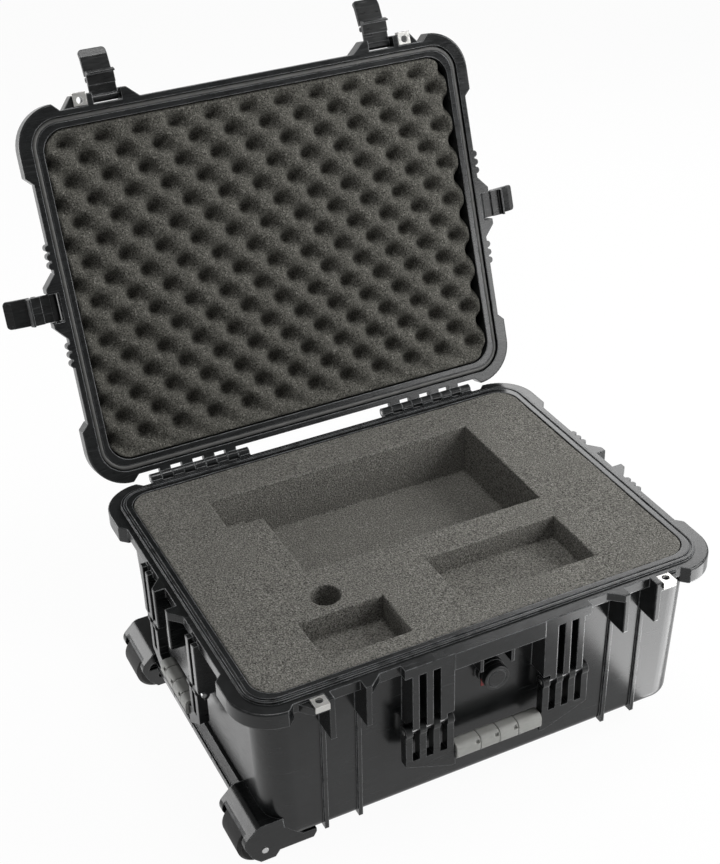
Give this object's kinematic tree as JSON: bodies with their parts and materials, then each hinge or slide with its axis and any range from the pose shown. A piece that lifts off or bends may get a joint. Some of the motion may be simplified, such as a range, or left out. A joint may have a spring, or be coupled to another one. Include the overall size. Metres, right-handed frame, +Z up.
{
  "type": "wheeled protective case",
  "caption": "Open wheeled hard case with a hinged lid, claw latches, folding carrying handles, a pull handle and foam with cut pockets",
  "frame": {"origin": "centre of the base's underside; the runners and wheels hang below it", "axes": "+X along the front towards the pull handle's end, +Y from the front to the hinges, +Z up out of the base"},
  "size_m": [0.7228, 0.6923, 0.7493],
  "materials": {
    "shell_black": "matte",
    "fitting_black": "satin",
    "foam": "matte",
    "gasket": "matte",
    "seal_red": "satin",
    "plate_steel": "satin",
    "pin_steel": "satin",
    "grip_grey": "satin",
    "tyre": "matte",
    "hub_grey": "satin",
    "rail_aluminium": "satin"
  },
  "bodies": {
    "base": {"base_shell": "shell_black", "base_padlock_plate_left": "plate_steel", "base_padlock_plate_right": "plate_steel", "base_foam": "foam", "hinge_pin_left": "pin_steel", "hinge_pin_right": "pin_steel", "purge_valve_body": "fitting_black", "purge_valve_seal": "seal_red", "front_handle_pin_near": "pin_steel", "front_handle_pin_far": "pin_steel", "side_handle_pin_near": "pin_steel", "side_handle_pin_far": "pin_steel", "wheel_housing_front": "shell_black", "wheel_housing_rear": "shell_black", "axle_front": "pin_steel", "axle_rear": "pin_steel", "wheel_bar": "shell_black", "housing_screws": "pin_steel", "runner_front": "shell_black", "runner_rear": "shell_black"},
    "lid": {"lid_shell": "shell_black", "lid_gasket": "gasket", "lid_foam": "foam", "lid_padlock_plate_left": "plate_steel", "lid_padlock_plate_right": "plate_steel", "latch_pin_front_left": "pin_steel", "latch_pin_front_right": "pin_steel", "latch_pin_left_end": "pin_steel", "latch_pin_right_end": "pin_steel"},
    "claw_front_left": {"latch_claw_front_left": "fitting_black", "lever_pin_front_left": "pin_steel"},
    "lever_front_left": {"latch_lever_front_left": "fitting_black"},
    "claw_front_right": {"latch_claw_front_right": "fitting_black", "lever_pin_front_right": "pin_steel"},
    "lever_front_right": {"latch_lever_front_right": "fitting_black"},
    "claw_left_end": {"latch_claw_left_end": "fitting_black", "lever_pin_left_end": "pin_steel"},
    "lever_left_end": {"latch_lever_left_end": "fitting_black"},
    "claw_right_end": {"latch_claw_right_end": "fitting_black", "lever_pin_right_end": "pin_steel"},
    "lever_right_end": {"latch_lever_right_end": "fitting_black"},
    "front_handle": {"front_handle_frame": "fitting_black", "front_handle_grip": "grip_grey"},
    "side_handle": {"side_handle_frame": "fitting_black", "side_handle_grip": "grip_grey"},
    "wheel_front": {"tyre_front": "tyre", "wheel_hub_front": "hub_grey", "wheel_bearings_front": "pin_steel"},
    "wheel_rear": {"tyre_rear": "tyre", "wheel_hub_rear": "hub_grey", "wheel_bearings_rear": "pin_steel"},
    "pull_handle": {"pull_rail_front": "rail_aluminium", "pull_rail_rear": "rail_aluminium", "pull_grip": "fitting_black"},
    "valve_knob": {"purge_valve_knob": "fitting_black"}
  },
  "joints": [
    {"name": "lid_hinge", "type": "hinge", "parent": "base", "child": "lid", "pos_m": [0, 0.2409, 0.2187], "axis": [1, 0, 0], "range_deg": [0, 108.6]},
    {"name": "claw_front_left_pivot", "type": "hinge", "parent": "lid", "child": "claw_front_left", "pos_m": [-0.186, 0.40751, 0.66581], "axis": [1, 0, 0], "range_deg": [0, 92]},
    {"name": "lever_front_left_pivot", "type": "hinge", "parent": "claw_front_left", "child": "lever_front_left", "pos_m": [-0.186, 0.41944, 0.6859], "axis": [1, 0, 0], "range_deg": [-48, 12]},
    {"name": "claw_front_right_pivot", "type": "hinge", "parent": "lid", "child": "claw_front_right", "pos_m": [0.186, 0.40751, 0.66581], "axis": [1, 0, 0], "range_deg": [0, 92]},
    {"name": "lever_front_right_pivot", "type": "hinge", "parent": "claw_front_right", "child": "lever_front_right", "pos_m": [0.186, 0.41944, 0.6859], "axis": [1, 0, 0], "range_deg": [-48, 12]},
    {"name": "claw_left_end_pivot", "type": "hinge", "parent": "lid", "child": "claw_left_end", "pos_m": [-0.302, 0.33224, 0.44214], "axis": [0, 0.319, 0.9478], "range_deg": [0, 92]},
    {"name": "lever_left_end_pivot", "type": "hinge", "parent": "claw_left_end", "child": "lever_left_end", "pos_m": [-0.32484, 0.33688, 0.44057], "axis": [0, 0.319, 0.9478], "range_deg": [-48, 12]},
    {"name": "claw_right_end_pivot", "type": "hinge", "parent": "lid", "child": "claw_right_end", "pos_m": [0.302, 0.33224, 0.44214], "axis": [0, -0.319, -0.9478], "range_deg": [0, 92]},
    {"name": "lever_right_end_pivot", "type": "hinge", "parent": "claw_right_end", "child": "lever_right_end", "pos_m": [0.32484, 0.33688, 0.44057], "axis": [0, -0.319, -0.9478], "range_deg": [-48, 12]},
    {"name": "front_handle_lift", "type": "hinge", "parent": "base", "child": "front_handle", "pos_m": [0, -0.233, 0.124], "axis": [-1, 0, 0], "range_deg": [0, 95]},
    {"name": "side_handle_lift", "type": "hinge", "parent": "base", "child": "side_handle", "pos_m": [-0.2965, 0, 0.138], "axis": [0, 1, 0], "range_deg": [0, 95]},
    {"name": "wheel_front_spin", "type": "hinge", "parent": "base", "child": "wheel_front", "pos_m": [-0.282, -0.168, -0.004], "axis": [0, 1, 0], "continuous": true},
    {"name": "wheel_rear_spin", "type": "hinge", "parent": "base", "child": "wheel_rear", "pos_m": [-0.282, 0.168, -0.004], "axis": [0, 1, 0], "continuous": true},
    {"name": "pull_handle_slide", "type": "slide", "parent": "base", "child": "pull_handle", "axis": [1, 0, 0], "range_m": [0, 0.38]},
    {"name": "valve_turn", "type": "hinge", "parent": "base", "child": "valve_knob", "pos_m": [0, -0.2305, 0.155], "axis": [0, -1, 0], "range_deg": [0, 90]}
  ]
}
